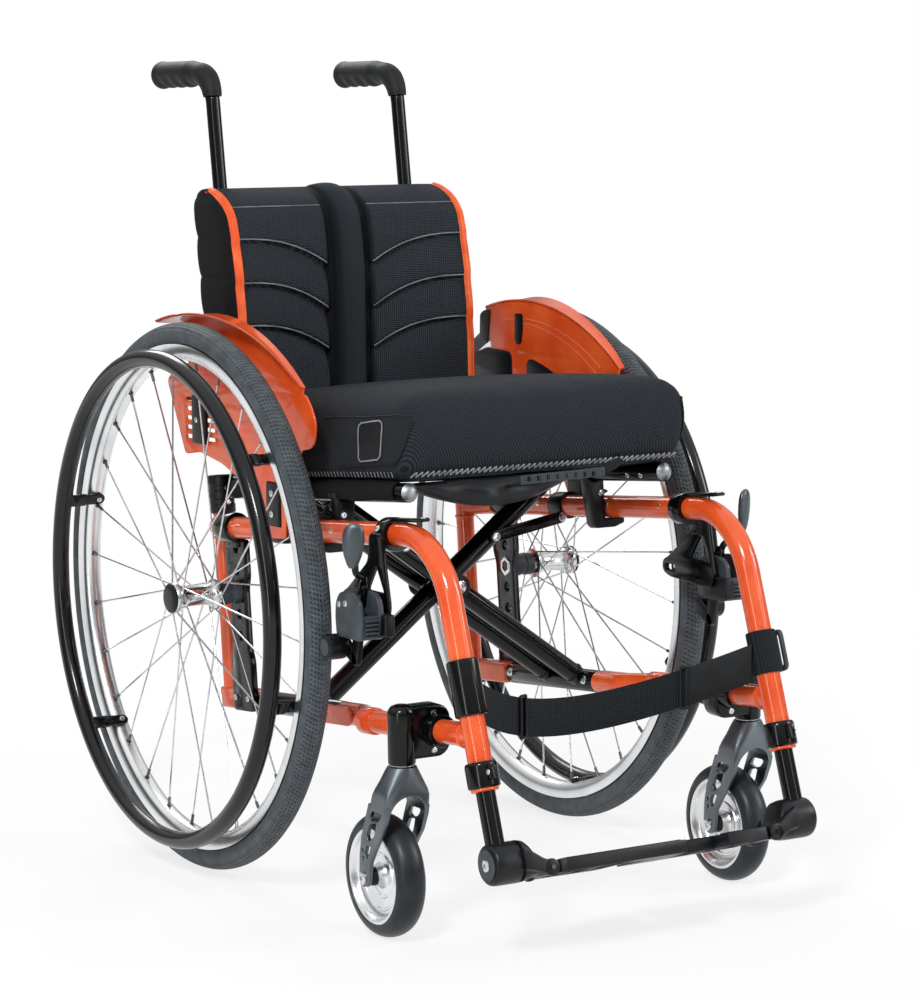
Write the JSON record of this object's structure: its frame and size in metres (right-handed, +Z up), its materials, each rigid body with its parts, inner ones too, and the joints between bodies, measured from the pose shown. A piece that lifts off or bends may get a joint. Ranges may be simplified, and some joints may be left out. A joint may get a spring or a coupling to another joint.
{
  "type": "folding active wheelchair",
  "caption": "Folding active wheelchair with an orange tube frame, black cross brace, spoked push wheels, side guards and a divided footplate.",
  "frame": {"origin": "on the floor, midway between the front of the footplate and the ends of the push grips, in the chair's middle plane", "axes": "+Z up, the chair faces -Y, +X is its user's left"},
  "size_m": [0.5628, 0.8692, 0.8792],
  "materials": {
    "orange_lacquer": "gloss orange powder coat",
    "black_lacquer": "gloss black powder coat",
    "black_anodised": "satin black",
    "black_plastic": "moulded, fine grain",
    "grip_rubber": "matt, moulded finger lobes",
    "grey_casting": "dark grey cast, satin",
    "tyre_rubber": "smooth side walls, chevron shoulders",
    "castor_rubber": "solid tread, matt",
    "rim_alloy": "polished",
    "steel_spokes": "drawn wire and turned hub",
    "black_mesh_fabric": "spacer mesh with orange piping",
    "black_webbing": "woven nylon"
  },
  "bodies": {
    "side_right": {"side_frame_r": "orange_lacquer", "footrest_post_r": "black_lacquer", "foot_hub_r": "black_plastic", "leg_sleeve_r": "black_webbing", "castor_housing_r": "black_lacquer", "axle_plate_r": "black_anodised", "seat_saddle_r": "black_plastic", "back_socket_r": "black_lacquer", "back_cane_r": "black_lacquer", "push_grip_r": "grip_rubber", "brake_bracket_r": "black_lacquer", "brake_body_r": "grey_casting", "side_guard_r": "orange_lacquer", "guard_holder_r": "black_plastic", "guard_clip_r": "black_plastic", "back_upholstery": "black_mesh_fabric", "calf_strap": "black_webbing"},
    "side_left": {"side_frame_l": "orange_lacquer", "footrest_post_l": "black_lacquer", "foot_hub_l": "black_plastic", "strap_loop_l": "black_webbing", "castor_housing_l": "black_lacquer", "axle_plate_l": "black_anodised", "seat_saddle_l": "black_plastic", "back_socket_l": "black_lacquer", "back_cane_l": "black_lacquer", "push_grip_l": "grip_rubber", "brake_bracket_l": "black_lacquer", "brake_body_l": "grey_casting", "side_guard_l": "orange_lacquer", "guard_holder_l": "black_plastic", "guard_clip_l": "black_plastic"},
    "cross_arm_a": {"cross_arm_a": "black_lacquer", "centre_bolt": "black_plastic"},
    "cross_arm_b": {"cross_arm_b": "black_lacquer"},
    "seat": {"seat_sling": "black_webbing", "seat_cushion": "black_mesh_fabric"},
    "stay_link_r": {"stay_link_r": "black_lacquer"},
    "footplate_r": {"footplate_r": "black_plastic"},
    "rear_wheel_r": {"rear_tyre_r": "tyre_rubber", "rear_rim_r": "rim_alloy", "rear_hub_r": "steel_spokes", "handrim_r": "black_anodised"},
    "castor_fork_r": {"castor_fork_r": "grey_casting"},
    "castor_wheel_r": {"castor_tyre_r": "castor_rubber", "castor_rim_r": "rim_alloy"},
    "brake_lever_r": {"brake_lever_r": "black_plastic"},
    "brake_shoe_r": {"brake_shoe_r": "black_plastic"},
    "stay_link_l": {"stay_link_l": "black_lacquer"},
    "footplate_l": {"footplate_l": "black_plastic"},
    "rear_wheel_l": {"rear_tyre_l": "tyre_rubber", "rear_rim_l": "rim_alloy", "rear_hub_l": "steel_spokes", "handrim_l": "black_anodised"},
    "castor_fork_l": {"castor_fork_l": "grey_casting"},
    "castor_wheel_l": {"castor_tyre_l": "castor_rubber", "castor_rim_l": "rim_alloy"},
    "brake_lever_l": {"brake_lever_l": "black_plastic"},
    "brake_shoe_l": {"brake_shoe_l": "black_plastic"}
  },
  "joints": [
    {"name": "fold", "type": "hinge", "parent": "side_right", "child": "cross_arm_a", "pos_m": [-0.16, 0.13564, 0.1759], "axis": [0, -0.9962, 0.0872], "range_deg": [0, 36], "deforming": ["seat_sling", "seat_cushion", "back_upholstery", "calf_strap"]},
    {"name": "scissor", "type": "hinge", "parent": "cross_arm_a", "child": "cross_arm_b", "pos_m": [0, 0.1459, 0.29314], "axis": [0, -0.9962, 0.0872], "range_deg": [-72, 0]},
    {"name": "side_left_hinge", "type": "hinge", "parent": "cross_arm_b", "child": "side_left", "pos_m": [0.16, 0.13564, 0.1759], "axis": [0, -0.9962, 0.0872], "range_deg": [0, 36]},
    {"name": "seat_tube_turn", "type": "hinge", "parent": "cross_arm_a", "child": "seat", "pos_m": [0.155, 0.15583, 0.40672], "axis": [0, -0.9962, 0.0872], "range_deg": [-36, 0]},
    {"name": "stay_turn_r", "type": "hinge", "parent": "side_right", "child": "stay_link_r", "pos_m": [-0.153, -0.03677, 0.37267], "axis": [0, -0.9962, 0.0872], "range_deg": [0, 80.8]},
    {"name": "footplate_fold_r", "type": "hinge", "parent": "side_right", "child": "footplate_r", "pos_m": [-0.1335, -0.40659, 0.09062], "axis": [0, -0.9466, 0.3223], "range_deg": [0, 88]},
    {"name": "rear_axle_r", "type": "hinge", "parent": "side_right", "child": "rear_wheel_r", "pos_m": [-0.2313, 0.13564, 0.2975], "axis": [1, 0, 0], "continuous": true},
    {"name": "castor_swivel_r", "type": "hinge", "parent": "side_right", "child": "castor_fork_r", "pos_m": [-0.21, -0.27616, 0.1806], "axis": [0, 0, 1], "continuous": true},
    {"name": "castor_axle_r", "type": "hinge", "parent": "castor_fork_r", "child": "castor_wheel_r", "pos_m": [-0.21, -0.23986, 0.0625], "axis": [1, 0, 0], "continuous": true},
    {"name": "brake_lever_turn_r", "type": "hinge", "parent": "side_right", "child": "brake_lever_r", "pos_m": [-0.2173, -0.21036, 0.336], "axis": [1, 0, 0], "range_deg": [0, 55]},
    {"name": "brake_shoe_turn_r", "type": "hinge", "parent": "side_right", "child": "brake_shoe_r", "pos_m": [-0.2173, -0.20836, 0.315], "axis": [1, 0, 0], "range_deg": [0, 9.01]},
    {"name": "stay_turn_l", "type": "hinge", "parent": "side_left", "child": "stay_link_l", "pos_m": [0.153, -0.00778, 0.37014], "axis": [0, -0.9962, 0.0872], "range_deg": [-80.8, 0]},
    {"name": "footplate_fold_l", "type": "hinge", "parent": "side_left", "child": "footplate_l", "pos_m": [0.1335, -0.40659, 0.09062], "axis": [0, -0.9466, 0.3223], "range_deg": [-88, 0]},
    {"name": "rear_axle_l", "type": "hinge", "parent": "side_left", "child": "rear_wheel_l", "pos_m": [0.2313, 0.13564, 0.2975], "axis": [1, 0, 0], "continuous": true},
    {"name": "castor_swivel_l", "type": "hinge", "parent": "side_left", "child": "castor_fork_l", "pos_m": [0.21, -0.27616, 0.1806], "axis": [0, 0, 1], "continuous": true},
    {"name": "castor_axle_l", "type": "hinge", "parent": "castor_fork_l", "child": "castor_wheel_l", "pos_m": [0.21, -0.23986, 0.0625], "axis": [1, 0, 0], "continuous": true},
    {"name": "brake_lever_turn_l", "type": "hinge", "parent": "side_left", "child": "brake_lever_l", "pos_m": [0.2173, -0.21036, 0.336], "axis": [1, 0, 0], "range_deg": [0, 55]},
    {"name": "brake_shoe_turn_l", "type": "hinge", "parent": "side_left", "child": "brake_shoe_l", "pos_m": [0.2173, -0.20836, 0.315], "axis": [1, 0, 0], "range_deg": [0, 9.01]}
  ],
  "couplings": [
    {"joint": "scissor", "follows": "fold", "ratio": -2},
    {"joint": "side_left_hinge", "follows": "fold", "ratio": 1},
    {"joint": "seat_tube_turn", "follows": "fold", "ratio": -1},
    {"joint": "stay_turn_r", "follows": "fold", "ratio": 2.244},
    {"joint": "footplate_fold_r", "follows": "fold", "ratio": 2.444},
    {"joint": "brake_shoe_turn_r", "follows": "brake_lever_turn_r", "ratio": 0.1636},
    {"joint": "stay_turn_l", "follows": "fold", "ratio": -2.244},
    {"joint": "footplate_fold_l", "follows": "fold", "ratio": -2.444},
    {"joint": "brake_shoe_turn_l", "follows": "brake_lever_turn_l", "ratio": 0.1636}
  ]
}
